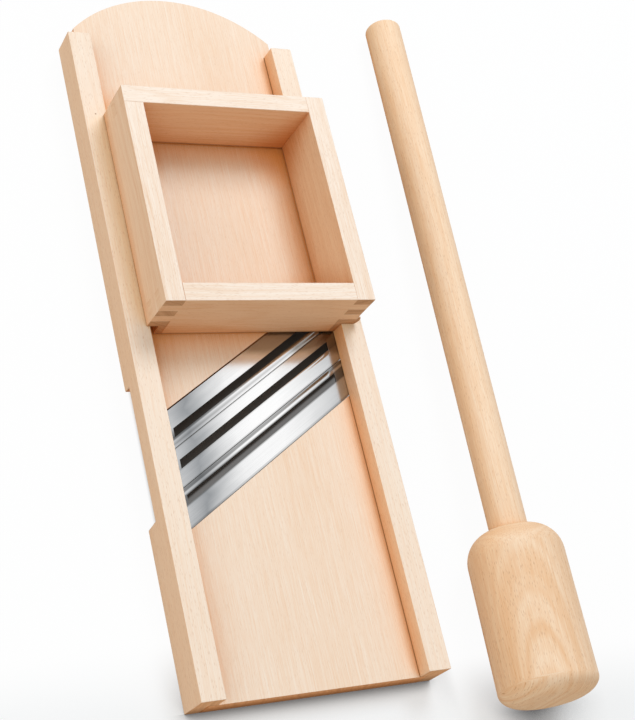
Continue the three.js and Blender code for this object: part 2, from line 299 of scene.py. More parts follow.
class Nodes:
    """A node tree. add() takes a node's type, its settings, which are set first, and its sockets' values."""

    def __init__(self, tree):
        self.tree = tree
        tree.nodes.clear()

    def add(self, kind, settings=None, sockets=None, output=0):
        made = self.tree.nodes.new("ShaderNode" + kind)
        for name, value in (settings or {}).items():
            if name == "stops":
                self.set_stops(made.color_ramp, value)
            else:
                setattr(made, name, value)
        for name, value in (sockets or {}).items():
            if isinstance(value, Signal):
                self.tree.links.new(value.socket, made.inputs[name])
            else:
                made.inputs[name].default_value = value
        return Signal(self, made.outputs[output]) if made.outputs else made

    @staticmethod
    def set_stops(ramp, stops):
        while len(ramp.elements) < len(stops):
            ramp.elements.new(1.0)
        for element, (place, level) in zip(ramp.elements, stops):
            element.position = place
            element.color = (level, level, level, 1.0)

    def place(self):
        """Where the shaded point is on its piece, in millimetres."""
        return self.add("TexCoord", {}, {}, "Object") * TO_MM

    def facing(self):
        """The way that the surface faces."""
        return self.add("TexCoord", {}, {}, "Normal")

    def joined(self, x, y, z):
        return self.add("CombineXYZ", {}, {0: x, 1: y, 2: z})

    def mix(self, first, second, share):
        """A colour between two, by share."""
        return self.add("Mix", {"data_type": "RGBA"}, {0: share, 6: first, 7: second}, 2)

    def noise(self, place, detail=2.0, roughness=0.5, scale=1.0):
        sockets = {"Vector": place, "Scale": scale, "Detail": detail, "Roughness": roughness}
        return self.add("TexNoise", {"noise_dimensions": "3D"}, sockets)

    def bands(self, place, detail=2.0, roughness=0.5):
        sockets = {"W": place, "Scale": 1.0, "Detail": detail, "Roughness": roughness}
        return self.add("TexNoise", {"noise_dimensions": "1D"}, sockets)

    def ramp(self, place, stops):
        """A grey level by place, from (place, level) stops."""
        level = self.add("ValToRGB", {"stops": stops}, {"Fac": place}, "Color")
        return level.dot((1 / 3, 1 / 3, 1 / 3))

    def open_air(self, reach, samples):
        """1 in the open, and less where something stands near, within reach in millimetres."""
        return self.add("AmbientOcclusion", {"samples": samples}, {"Distance": reach * MM}, "AO")

    def bump(self, height, strength, distance):
        return self.add("Bump", {}, {"Strength": strength, "Distance": distance, "Height": height})

    def ray(self, kind):
        """1 for rays of a kind, such as Camera or Diffuse."""
        return self.add("LightPath", {}, {}, f"Is {kind} Ray")

    def blend(self, share, first, second):
        """A surface between two, by share."""
        return self.add("MixShader", {}, {0: share, 1: first, 2: second})

    def surface(self, sockets):
        shader = self.add("BsdfPrincipled", {}, sockets)
        self.add("OutputMaterial", {}, {"Surface": shader})


def new_finish(name):
    material = bpy.data.materials.new(name)
    material.use_nodes = True
    return material, Nodes(material.node_tree)


def solid(colour):
    return (*colour, 1.0)


def beech(name, look, along, across, heart, wander, seed, figure=1.0, origin=(0, 0, 0)):
    """Beech, its grain along one axis. heart is the tree's middle, in mm across and deep from the piece."""
    material, nodes = new_finish(name)
    along, across = Vector(along), Vector(across)
    deep = along.cross(across)
    on_piece = nodes.place()
    place = on_piece - tuple(origin)
    facing = nodes.facing()
    length, depth = place.dot(along), place.dot(deep)
    if look["foot_wrap"]:
        round_foot = facing.dot(-along).rise(0.02, 0.30)
        past_edge = (depth + look["foot_wrap"]) * round_foot
        length, depth = length - past_edge, depth - past_edge
    width = place.dot(across)
    step_across, step_along, step_deep = (seed * step for step in SEED_STEP)
    grain = nodes.joined(width + step_across, length + step_along, depth + step_deep)

    def stretched(mark):
        """The place in the grain, so that a texture's cells come out as wide and as long as the mark."""
        wide, long = mark
        return grain * (1 / wide, 1 / long, 1 / wide)

    # Rings round the tree's heart, a little bent, each with a fine line
    slow = nodes.noise(stretched(SLOW_BEND)) - 0.5
    small = nodes.noise(stretched(SMALL_BEND), detail=1.0) - 0.5
    lean = 1.0 + length * look["lean"]
    from_heart_across = width - lean * heart[0]
    from_heart_deep = depth - lean * heart[1]
    ring = (from_heart_across ** 2.0 + from_heart_deep ** 2.0) ** 0.5
    ring = ring + slow * wander + small * (wander * 0.08)
    band = nodes.bands(ring / RING_BAND + seed, roughness=0.6)
    line = (1.0 - abs(nodes.bands(ring / RING_LINE + seed * 2.0, detail=0.0) - 0.5) * 14.0).most(0.0)

    # Fibres, streaks, broad clouds and the short flecks of beech
    fibre = nodes.noise(stretched(FIBRE), roughness=0.7)
    streak = nodes.noise(stretched(STREAK), detail=1.0)
    broad = nodes.noise(stretched(BROAD), detail=1.0)
    cells = {"Vector": stretched(FLECK), "Scale": 1.0, "Randomness": 1.0}
    fleck_far = nodes.add("TexVoronoi", {}, cells, "Distance")
    fleck_pick = nodes.add("TexVoronoi", {}, cells, "Color").dot(X_AXIS)
    fleck = (1.0 - fleck_far.rise(0.10, 0.38)) * fleck_pick.rise(0.40, 0.75)

    tone = look["tone"] + (band - 0.5) * (BAND_SHARE * figure) + line * (LINE_SHARE * figure)
    tone = tone + (fibre - 0.5) * FIBRE_SHARE + (streak - 0.5) * STREAK_SHARE + (broad - 0.5) * BROAD_SHARE
    colour = nodes.mix(solid(look["pale"]), solid(look["deep"]), tone.within_one())
    colour = nodes.mix(colour, solid(look["fleck"]), fleck * look["flecks"])

    # End grain, which is darker, and a painted shade on upright faces
    end = abs(facing.dot(along)).rise(0.72, 0.93)
    pores = nodes.noise(stretched(PORE))
    end_tone = 0.45 + (band - 0.5) * 1.2 + (pores - 0.5) * 0.9 + line * 0.3
    end_colour = nodes.mix(solid(look["end"]), solid(look["end_deep"]), end_tone.within_one())
    upright = 1.0 - abs(facing.dot(Z_AXIS)).rise(0.35, 0.85)
    colour = nodes.mix(colour, colour * look["side"], upright)
    colour = nodes.mix(colour, end_colour, end * look["ends"])

    # Painted shade in corners that little light reaches, painted shade lines where pieces meet and towards the
    # ground at the lower end, and the pin's mark
    closed = 1.0 - nodes.open_air(CORNER_REACH, 8).rise(0.30, look["corner_open"])
    within = abs(on_piece.dot(X_AXIS)) < look["corners_within"]
    colour = nodes.mix(colour, colour * look["corner"], closed * within)
    if look["ride_corner"]:
        on_ride = on_piece.dot(Z_AXIS) > RAIL_FACE - 1.0
        colour = nodes.mix(colour, colour * look["ride_corner"], closed * on_ride)
    for darkened in look["lines"]:
        colour = nodes.mix(colour, solid(look["shade_and_mark"]), darkened(on_piece, upright) * 0.7)

    nodes.surface({
        "Base Color": colour,
        "Roughness": 0.55 + (fibre - 0.5) * 0.22 + end * 0.12,
        "Specular IOR Level": 0.03,
        "Normal": nodes.bump(fibre * 0.6 - fleck * 0.5 + band * 0.3, 0.22, 0.00022),
    })
    return material


def foot_shade_line(height, reach, between_rails=True):
    """Painted shade on an upright face, from a height upwards, between the rails' inner sides or beyond them.
    """
    def darkened(place, upright):
        z, x = place.dot(Z_AXIS), abs(place.dot(X_AXIS))
        near = 1.0 - (z - height).rise(reach * 0.3, reach)
        beyond = x.rise(INNER_SIDE - 0.2, INNER_SIDE + 0.4)
        return near * upright * (1.0 - beyond if between_rails else beyond) * (z > height - 0.7)
    return darkened


def edge_shade_line(reach):
    """Painted shade on the board's face along the rails."""
    def darkened(place, upright):
        x, y = abs(place.dot(X_AXIS)), place.dot(Y_AXIS)
        return x.rise(INNER_SIDE - reach, INNER_SIDE - reach * 0.3) * (1.0 - upright) * (y < RAIL_TOP)
    return darkened


def end_shade(reach):
    """The lower end's shade towards the ground."""
    def darkened(place, upright):
        y, z = place.dot(Y_AXIS), place.dot(Z_AXIS)
        return (1.0 - z.rise(0.0, reach)) * upright * (y < LOWER_END + 0.3)
    return darkened


def spot(x, y, radius):
    """A small dark pin mark."""
    def darkened(place, upright):
        far_x, far_y = place.dot(X_AXIS) - x, place.dot(Y_AXIS) - y
        far = (far_x ** 2.0 + far_y ** 2.0) ** 0.5
        return (1.0 - far.rise(radius * 0.5, radius)) * (1.0 - upright)
    return darkened


def steel(name, look, along, upper_edge, painted_bands):
    """Brushed steel, its lines along one axis, with a painted highlight and the box's painted shade.
    painted_bands are painted levels by place across, from the upper edge.
    """
    material, nodes = new_finish(name)
    along = Vector(along)
    place = nodes.place()
    length = place.dot(along)
    width = place.dot((-along.y, along.x, 0.0))
    x, y, height = place.dot(X_AXIS), place.dot(Y_AXIS), place.dot(Z_AXIS)
    lines = nodes.joined(length / 60.0, width / 0.22, height / 0.22)
    brush = nodes.noise(lines, detail=3.0, roughness=0.6)
    cloud = nodes.noise(nodes.joined(length / 30.0, width / 9.0, height / 9.0), detail=1.0)
    # A painted highlight along each knife, brightest in the middle and dim towards the rails
    polish = nodes.ramp((x + (cloud - 0.5) * 16.0) / (2 * INNER_SIDE) + 0.5, look["polish"])
    stops = [(far / KNIFE_WIDTH, level) for far, level in painted_bands]
    # Painted bands of light and shade across each knife
    painted_band = nodes.ramp((upper_edge - width) / KNIFE_WIDTH, stops)
    shaded = (y + (cloud - 0.5) * 8.0 - BOX_SHADE_FROM).rise(-3.0, 5.0)
    tone = (1.0 + (brush - 0.5) * 0.30) * painted_band
    colour = nodes.mix(solid(look["steel_end"]), solid(look["steel"]), polish) * tone
    colour = nodes.mix(colour, colour * look["box_shade"], shaded)
    nodes.surface({
        "Base Color": colour,
        "Metallic": 1.0,
        "Roughness": 0.16 + (brush - 0.5) * 0.12,
        "Normal": nodes.bump(brush, 0.10, 0.00004),
    })
    return material


def zinc(name, colours):
    """Dull plated steel for the screws."""
    material, nodes = new_finish(name)
    place = nodes.place()
    mottle = nodes.noise(place, detail=3.0, roughness=0.65, scale=1.3)
    turned_marks = nodes.noise(place * (0.5, 0.5, 6.0))
    nodes.surface({
        "Base Color": nodes.mix(solid(colours["zinc"]), solid(colours["zinc_dull"]), mottle.rise(0.35, 0.7)),
        "Metallic": 1.0,
        "Roughness": 0.32 + (mottle - 0.5) * 0.3,
        "Normal": nodes.bump(turned_marks, 0.15, 0.00005),
    })
    return material


def object_of(name, form):
    """A new object from a bmesh, which is freed."""
    mesh = bpy.data.meshes.new(name)
    form.to_mesh(mesh)
    form.free()
    piece = bpy.data.objects.new(name, mesh)
    bpy.context.scene.collection.objects.link(piece)
    return piece


def apply_modifiers(piece):
    bpy.context.view_layer.update()
    graph = bpy.context.evaluated_depsgraph_get()
    mesh = bpy.data.meshes.new_from_object(piece.evaluated_get(graph), depsgraph=graph)
    mesh.name = piece.name
    piece.modifiers.clear()
    piece.data = mesh


def smooth_by_angle(piece, angle):
    """Rounds shade smooth and flats stay flat."""
    piece.data.shade_smooth()
    piece.data.set_sharp_from_angle(angle=angle)
    weighted = piece.modifiers.new("flats", "WEIGHTED_NORMAL")
    weighted.keep_sharp = True
    apply_modifiers(piece)


def round_edges(piece, widest, steps):
    """Rounds each edge by its bevel weight times widest."""
    bevel = piece.modifiers.new("rounding", "BEVEL")
    bevel.limit_method = "WEIGHT"
    bevel.width = widest
    bevel.segments = steps
    bevel.harden_normals = False
    apply_modifiers(piece)


def wooden_copy(node, rounding, weigh):
    """A copy of a packed wooden piece with its flat faces whole again and its edges rounded."""
    form = bmesh.new()
    form.from_mesh(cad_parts[node].data)
    bmesh.ops.remove_doubles(form, verts=form.verts, dist=WELD)
    bmesh.ops.dissolve_limit(form, angle_limit=FLAT_ANGLE, verts=form.verts, edges=form.edges)
    weights = form.edges.layers.float.new("bevel_weight_edge")
    for edge in form.edges:
        if len(edge.link_faces) == 2 and edge.is_convex and edge.calc_face_angle() > SHARP_ANGLE:
            middle = (edge.verts[0].co + edge.verts[1].co) / 2 * TO_MM
            edge[weights] = weigh(middle, edge.calc_length() * TO_MM)
    piece = object_of(node + "_beech", form)
    round_edges(piece, rounding, ROUNDING_STEPS)
    smooth_by_angle(piece, WOOD_SMOOTH)
    return piece


def longer_than(shortest):
    """Weighs the edges longer than shortest, in millimetres, and leaves the others sharp."""
    def weigh(middle, length):
        return 1.0 if length > shortest else 0.0
    return weigh


def finish_piece(piece, material, body, node):
    piece.data.materials.clear()
    piece.data.materials.append(material)
    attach(piece, body)
    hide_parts(node)


def turned_form(profile, flats):
    """A closed turned form round Y, from (radius, height) points in mm that start and end on the axis."""
    form = bmesh.new()
    turns = [2 * math.pi * k / flats for k in range(flats)]
    rings = []
    for radius, height in profile:
        if radius < WELD:
            rings.append([form.verts.new((0.0, height * MM, 0.0))])
            continue
        places = [(radius * math.sin(turn) * MM, height * MM, radius * math.cos(turn) * MM) for turn in turns]
        rings.append([form.verts.new(place) for place in places])
    for low, high in zip(rings, rings[1:]):
        for k in range(flats):
            after = (k + 1) % flats
            if len(low) == 1:
                form.faces.new((low[0], high[after], high[k]))
            elif len(high) == 1:
                form.faces.new((low[k], low[after], high[0]))
            else:
                form.faces.new((low[k], low[after], high[after], high[k]))
    bmesh.ops.recalc_face_normals(form, faces=form.faces)
    return form


def arc(centre, wide, tall, start, stop, steps):
    return [
        (centre[0] + wide * math.cos(angle), centre[1] + tall * math.sin(angle))
        for angle in (start + (stop - start) * k / steps for k in range(steps + 1))
    ]


def along_at(x, across_knives):
    """Place along the board of a point some way across the knives, from their window's upper edge."""
    return WINDOW_UPPER + math.tan(KNIFE_ANGLE) * x - across_knives / math.cos(KNIFE_ANGLE)


def smooth_step(share):
    return share * share * (3 - 2 * share)


def lip_height(place):
    """Height of the lip's section, from its cutting edge outwards, as a share of its rise."""
    if place < LIP_CREST:
        return LIP_EDGE_HEIGHT + (1 - LIP_EDGE_HEIGHT) * math.sin(math.pi / 2 * place / LIP_CREST)
    return (0.5 + 0.5 * math.cos(math.pi * (place - LIP_CREST) / (1 - LIP_CREST))) ** 0.75


def knife_lines(index, slot_from, slot_width, lip_width, rise, lip_below, sheet):
    """Lines along a knife, as the place across it, how high its lip lifts it and how much thinner it is."""
    slot_end = slot_from + slot_width
    near, far, away = (slot_end, slot_from, 1) if lip_below else (slot_from, slot_end, -1)
    lines = [(0.0 if index else UPPER_EDGE_ROOM, 0.0, 0.0), (far, 0.0, 0.0), (KNIFE_WIDTH, 0.0, 0.0)]
    for k in range(LIP_STEPS + 1):
        place = k / LIP_STEPS
        thin = (sheet - EDGE_SHEET) * max(0.0, 1 - place / LIP_GROUND)
        lines.append((near + away * place * lip_width, lip_height(place) * rise, thin))
    return sorted(lines)


def knife_columns():
    """Columns across the board, as x and the share of the lip's rise there."""
    half = INNER_SIDE - SLOT_MARGIN
    shares = [k / FADE_STEPS for k in range(FADE_STEPS + 1)]
    left = [(-half + share * LIP_FADE, smooth_step(share)) for share in shares]
    right = [(-x, risen) for x, risen in reversed(left)]
    return [(-BOARD_SIDE, 0.0), *left, *right, (BOARD_SIDE, 0.0)]


def knife_form(index, cut, sheet):
    """A knife as one sheet on a grid of lines, with the slot's cells left out and every open side closed."""
    slot_from, slot_width = cut[:2]
    slot_end = slot_from + slot_width
    lines = knife_lines(index, *cut, sheet)
    columns = knife_columns()

    form = bmesh.new()
    corners = {}
    for i, (x, risen) in enumerate(columns):
        for j, (across, high, thin) in enumerate(lines):
            y = along_at(x, KNIFE_GAP + index * KNIFE_PITCH + across)
            top = BOARD_FACE + high * risen
            bottom = top - sheet + thin * risen
            corners[i, j, 0] = form.verts.new((x * MM, y * MM, bottom * MM))
            corners[i, j, 1] = form.verts.new((x * MM, y * MM, top * MM))

    def is_sheet(i, j):
        if not (0 <= i < len(columns) - 1 and 0 <= j < len(lines) - 1):
            return False
        in_slot = lines[j][0] >= slot_from - WELD and lines[j + 1][0] <= slot_end + WELD
        return not (in_slot and 0 < i < len(columns) - 2)

    for i in range(len(columns) - 1):
        for j in range(len(lines) - 1):
            if not is_sheet(i, j):
                continue
            ring = [(i, j), (i, j + 1), (i + 1, j + 1), (i + 1, j)]
            for face in (0, 1):
                form.faces.new([corners[a, b, face] for a, b in ring])
            sides = [(i - 1, j), (i, j + 1), (i + 1, j), (i, j - 1)]
            for first, second, beyond in zip(ring, ring[1:] + ring[:1], sides):
                if not is_sheet(*beyond):
                    wall = [(*first, 0), (*second, 0), (*second, 1), (*first, 1)]
                    form.faces.new([corners[corner] for corner in wall])
    loose = [vertex for vertex in form.verts if not vertex.link_faces]
    bmesh.ops.delete(form, geom=loose, context="VERTS")
    bmesh.ops.recalc_face_normals(form, faces=form.faces)
    return form


def cut_with(piece, tools):
    """Cuts each tool out of the piece and removes the tool."""
    for tool in tools:
        cutter = piece.modifiers.new("cut", "BOOLEAN")
        cutter.operation = "DIFFERENCE"
        cutter.solver = "EXACT"
        cutter.object = tool
        apply_modifiers(piece)
        bpy.data.objects.remove(tool)


def post(name, radius, height, x, y, z):
    """An upright post to cut a hole with."""
    form = bmesh.new()
    place = Matrix.Translation((x * MM, y * MM, z * MM))
    bmesh.ops.create_cone(
        form, cap_ends=True, segments=32, radius1=radius * MM, radius2=radius * MM,
        depth=height * MM, matrix=place,
    )
    return object_of(name, form)


def screw_form(shank, head, head_height, length, tip, pan):
    """A wood screw with its head at the origin and its tip up +Z; pattern() cuts its driver slot."""
    profile = [(0.0, length)]
    height = length - tip * 0.2
    while height > length * THREAD_SHARE:
        taper = min(1.0, (length - height) / tip)
        valley = max(0.2, (shank - THREAD_BITE) * taper)
        ridge = max(0.3, (shank + THREAD_BITE * 0.8) * taper)
        profile += [(valley, height), (ridge, height - THREAD_PITCH / 2)]
        height -= THREAD_PITCH
    if pan:
        rim = (head, -head_height * 0.35)
        dome = arc((head * 0.55, rim[1]), head * 0.45, head_height * 0.65, 0.0, -math.pi / 2, 6)
        profile += [(shank, height), (shank, 0.0), (head, 0.0), rim, *dome[1:], (0.0, -head_height)]
    else:
        profile += [(shank, height), (shank, head_height), (head, 0.25), (head, 0.0), (0.0, 0.0)]
    form = turned_form([(radius, -far) for radius, far in profile], SCREW_FLATS)
    bmesh.ops.transform(form, matrix=Matrix.Rotation(-math.pi / 2, 4, "X"), verts=form.verts)
    return form


def length_property(name, description, default, smallest, largest):
    return bpy.props.FloatProperty(
        name=name, description=description, default=default, min=smallest, max=largest,
        subtype="DISTANCE", unit="LENGTH", precision=5,
    )


def power_property(name, description, default):
    return bpy.props.FloatProperty(name=name, description=description, default=default, min=0.0, unit="POWER")


def colour_property(name, description, default):
    return bpy.props.FloatVectorProperty(
        name=name, description=description, default=default, subtype="COLOR", size=3, min=0.0, max=1.0,
    )


class ShredderSizes(bpy.types.PropertyGroup):
    """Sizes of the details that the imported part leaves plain."""

    arris: length_property(
        "Edge rounding", "Rounding of the boards' and rails' edges", 0.0007, 0.0001, 0.002,
    )
    rim_arris: length_property(
        "Box edge rounding", "Rounding of the sliding box's rim and corners", 0.0006, 0.0001, 0.002,
    )
    joint_share: bpy.props.FloatProperty(
        name="Joint line",
        description="Rounding of the finger joints' edges, as a share of the box's rounding",
        default=0.22, min=0.0, max=1.0, subtype="FACTOR",
    )
    sheet: length_property("Knife sheet", "Thickness of the knives' steel", 0.001, 0.0005, 0.001)
    turning_flats: bpy.props.IntProperty(
        name="Turning", description="Flats round the stomper", default=144, min=48, max=256,
    )


class ShredderColours(bpy.types.PropertyGroup):
    """Colours of the wood and the steel."""

    pale: colour_property("Pale beech", "Lightest grain of the boards", (0.95, 0.87, 0.785))
    deep: colour_property("Deep beech", "Darkest grain of the boards", (0.885, 0.70, 0.545))
    stomper_pale: colour_property("Pale stomper", "Lightest grain of the stomper", (0.96, 0.815, 0.655))
    stomper_deep: colour_property("Deep stomper", "Darkest grain of the stomper", (0.85, 0.585, 0.37))
    fleck: colour_property("Flecks", "Short dark rays in the grain", (0.52, 0.29, 0.15))
    end: colour_property("End grain", "Lightest end grain", (0.92, 0.54, 0.29))
    end_deep: colour_property("Deep end grain", "Darkest end grain", (0.67, 0.355, 0.175))
    # Painted shade on upright faces: how much of each colour they keep
    side: colour_property("Sides", "How much of each colour the upright faces keep", (0.96, 0.79, 0.64))
    # Painted shade deep in corners: how much of each colour stays there
    corner: colour_property("Corners", "How much of each colour stays deep in a corner", (0.86, 0.60, 0.35))
    # One colour for the painted shade lines where pieces meet and at the lower end, and for the pin's mark
    shade_and_mark: colour_property("Dirt", "Dark lines where the pieces meet", (0.27, 0.14, 0.065))
    # Steel is the knives' colour in the middle of their painted highlight, and Steel ends their colour outside
    # it
    steel: colour_property("Steel", "Knives, where they are polished", (0.985, 0.985, 0.985))
    steel_end: colour_property("Steel ends", "Knives, where the polish fades", (0.33, 0.345, 0.36))
    zinc: colour_property("Screws", "Plating of the screws", (0.60, 0.58, 0.53))
    zinc_dull: colour_property("Dull screws", "Plating of the screws where it is dull", (0.42, 0.40, 0.37))


class ShredderStage(bpy.types.PropertyGroup):
    """Lamps, floor and camera."""

    key_power: power_property("Key lamp", "Power of the large lamp behind the board's right side", 22.8)
    fill_power: power_property("Fill lamp", "Power of the lamp at the left", 23.5)
    front_power: power_property("Front lamp", "Power of the low lamp in front of the board's lower end", 6.0)
    sky: bpy.props.FloatProperty(
        name="Sky", description="Strength of the even light from all round", default=0.45, min=0.0,
    )
    lens: bpy.props.FloatProperty(
        name="Lens", description="Focal length of the camera", default=78.895, min=20.0, unit="CAMERA",
    )


GROUPS = {
    "shredder_sizes": ShredderSizes,
    "shredder_colours": ShredderColours,
    "shredder_stage": ShredderStage,
}


def wood_look(context, stomper=False, **changes):
    """The colours and shares that beech() works with."""
    look = context.scene.shredder_colours
    return {
        "pale": tuple(look.stomper_pale if stomper else look.pale),
        "deep": tuple(look.stomper_deep if stomper else look.deep),
        "tone": 0.42,
        "lean": 0.0,
        "fleck": tuple(look.fleck),
        "flecks": 0.20,
        "end": tuple(look.end),
        "end_deep": tuple(look.end_deep),
        "ends": 1.0,
        "side": tuple(look.side),
        "corner": tuple(look.corner),
        "corners_within": 1000.0,
        "corner_open": 0.87,
        "ride_corner": (),
        "foot_wrap": 0.0,
        "shade_and_mark": tuple(look.shade_and_mark),
        "lines": (),
        **changes,
    }


class SHREDDER_OT_rails(bpy.types.Operator):
    """Rounds and finishes the two rails"""

    bl_idname = "shredder.rails"
    bl_label = "Rails"

    def execute(self, context):
        sizes = context.scene.shredder_sizes
        for seed, (node, heart) in enumerate(RAILS.items(), start=1):
            piece = wooden_copy(node, sizes.arris, longer_than(7.0))
            # Painted shade lines along the board and towards the ground at the lower end
            lines = [foot_shade_line(BOARD_FACE, 1.3), end_shade(22.0)]
            if node == "left_rail":
                lines.append(spot(*PIN_MARK))
            # Painted shade in the rails' inner corners and, beside the box, on their tops
            look = wood_look(
                context, tone=0.18, flecks=0.4, lines=lines, corners_within=INNER_SIDE + 0.3,
                ride_corner=(1.0, 0.87, 0.60),
            )
            wood = beech(node + "_wood", look, Y_AXIS, X_AXIS, heart, wander=22.0, seed=seed, figure=0.5)
            finish_piece(piece, wood, "board", node)
        return {"FINISHED"}


class SHREDDER_OT_boards(bpy.types.Operator):
    """Rounds and finishes the board's two halves"""

    bl_idname = "shredder.boards"
    bl_label = "Boards"

    def execute(self, context):
        sizes = context.scene.shredder_sizes
        for seed, (node, heart) in enumerate(BOARDS.items(), start=4):
            piece = wooden_copy(node, sizes.arris, longer_than(4.0))
            # Painted shade in the board's corners, and painted shade lines along the rails and at the lower end
            look = wood_look(
                context, tone=0.48, lines=[edge_shade_line(0.7), end_shade(17.0)], corner=(0.93, 0.51, 0.18),
                corner_open=0.93,
            )
            wood = beech(node + "_wood", look, Y_AXIS, X_AXIS, heart, wander=30.0, seed=seed, figure=0.45)
            finish_piece(piece, wood, "board", node)
        return {"FINISHED"}


class SHREDDER_OT_knives(bpy.types.Operator):
    """Forms the three slotted knives"""

    bl_idname = "shredder.knives"
    bl_label = "Knives"

    def execute(self, context):
        sizes = context.scene.shredder_sizes
        look = context.scene.shredder_colours
        finish = {
            "steel": tuple(look.steel), "steel_end": tuple(look.steel_end),
            "polish": PAINTED_HIGHLIGHT, "box_shade": BOX_SHADE,
        }
        along = (math.cos(KNIFE_ANGLE), math.sin(KNIFE_ANGLE), 0.0)
        for index, (node, cut) in enumerate(KNIVES.items()):
            piece = object_of(node + "_steel", knife_form(index, cut, sizes.sheet * TO_MM))
            cut_with(piece, self.hole_posts(KNIFE_GAP + KNIFE_WIDTH / 2 + index * KNIFE_PITCH))
            smooth_by_angle(piece, METAL_SMOOTH)
            upper_edge = WINDOW_UPPER * math.cos(KNIFE_ANGLE) - KNIFE_GAP - index * KNIFE_PITCH
            material = steel(node + "_finish", finish, along, upper_edge, PAINTED_KNIFE_BANDS[node])
            finish_piece(piece, material, "board", node)
        return {"FINISHED"}

    @staticmethod
    def hole_posts(middle):
        """Posts for the screw holes at a knife's two ends. middle is the knife's middle across the knives."""
        places = [(x, along_at(x, middle)) for x in (-TAB_MIDDLE, TAB_MIDDLE)]
        return [post("hole", HOLE_RADIUS, 4.0, x, y, BOARD_FACE) for x, y in places]


class SHREDDER_OT_screws(bpy.types.Operator):
    """Turns the screws of the knives and the boards"""

    bl_idname = "shredder.screws"
    bl_label = "Screws"

    def execute(self, context):
        look = context.scene.shredder_colours
        finish = zinc("screw_zinc", {"zinc": tuple(look.zinc), "zinc_dull": tuple(look.zinc_dull)})
        for kind, (count, sizes, head_low) in SCREWS.items():
            pattern = self.pattern(kind, sizes, head_low)
            for side, side_turn in (("left", 0.0), ("right", 31.0)):
                for k in range(count):
                    node = f"{side}_{kind}_screw_{k + 1}"
                    low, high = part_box(node)
                    piece = bpy.data.objects.new(node + "_zinc", pattern.copy())
                    context.scene.collection.objects.link(piece)
                    turn = math.radians(23.0 + 67.0 * k + side_turn)
                    place = ((low.x + high.x) / 2, (low.y + high.y) / 2, low.z + head_low * MM)
                    piece.matrix_world = Matrix.Translation(place) @ Matrix.Rotation(turn, 4, "Z")
                    finish_piece(piece, finish, "board", node)
        return {"FINISHED"}

    @staticmethod
    def pattern(kind, sizes, head_low):
        """The mesh that the screws of a kind share, with its driver slot cut."""
        head_height = sizes[2]
        piece = object_of(kind + "_screw", screw_form(*sizes))
        form = bmesh.new()
        reach = Matrix.Diagonal((*DRIVER_SLOT, head_height * MM, 1.0))
        bmesh.ops.create_cube(form, size=1.0, matrix=Matrix.Translation((0, 0, -head_low * MM)) @ reach)
        cut_with(piece, [object_of("driver_slot", form)])
        smooth_by_angle(piece, METAL_SMOOTH)
        mesh = piece.data
        bpy.data.objects.remove(piece)
        return mesh


class SHREDDER_OT_box(bpy.types.Operator):
    """Rounds and finishes the sliding box's four walls"""

    bl_idname = "shredder.box"
    bl_label = "Sliding box"

    def execute(self, context):
        sizes = context.scene.shredder_sizes
        weigh = self.edge_weights(sizes.joint_share)
        for seed, (node, heart) in enumerate({**BOX_SIDES, **BOX_ENDS}.items(), start=8):
            piece = wooden_copy(node, sizes.rim_arris, weigh)
            # Painted shade lines at the walls' feet, above the board and on the rails
            lines = [foot_shade_line(BOX_FOOT, 2.6), foot_shade_line(BOX_RIDE, 1.8, between_rails=False)]
            # Painted shade in the corners and on each wall's upright faces
            look = wood_look(
                context, tone=0.2, flecks=0.3, lines=lines, side=BOX_SIDE_SHADES[node],
                pale=BOX_PALE, deep=BOX_DEEP, corner=BOX_CORNER_SHADE,
            )
            if node in BOX_SIDES:
                along, across = Y_AXIS, X_AXIS
                look.update(end=(0.66, 0.40, 0.23), end_deep=(0.47, 0.265, 0.14))
            else:
                along, across = X_AXIS, Z_AXIS
                look.update(end=(0.885, 0.665, 0.485), end_deep=(0.81, 0.55, 0.36))
            wood = beech(node + "_wood", look, along, across, heart, wander=34.0, seed=seed, figure=1.15)
            finish_piece(piece, wood, "carriage", node)
        return {"FINISHED"}

    @staticmethod
    def edge_weights(joint_share):
        """Weighs the rim, the corners and the feet most, and the finger joints' edges by joint_share."""
        left_low, left_high = (corner * TO_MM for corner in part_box("carriage_left_wall"))
        upper_low, upper_high = (corner * TO_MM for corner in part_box("carriage_upper_wall"))
        lower_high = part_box("carriage_lower_wall")[1] * TO_MM
        outer_x, outer_y = (left_low.x, upper_high.x), (left_low.y, upper_high.y)
        inner_x, inner_y = (left_high.x, 2 * BOX_SHIFT - left_high.x), (lower_high.y, upper_low.y)

        def at(value, planes):
            return any(abs(value - plane) < 0.05 for plane in planes)

        def weigh(middle, length):
            outside = [at(middle.x, outer_x), at(middle.y, outer_y)]
            on_rim = at(middle.z, [upper_high.z])
            if length < 2.0:
                return 0.0
            if all(outside) or (on_rim and any(outside)):
                return 1.0
            if on_rim and at(middle.x, inner_x) and inner_y[0] < middle.y < inner_y[1]:
                return 1.0
            if on_rim and at(middle.y, inner_y) and inner_x[0] < middle.x < inner_x[1]:
                return 1.0
            if middle.z < BOX_RIDE + 0.5:
                return 0.8
            return joint_share
        return weigh


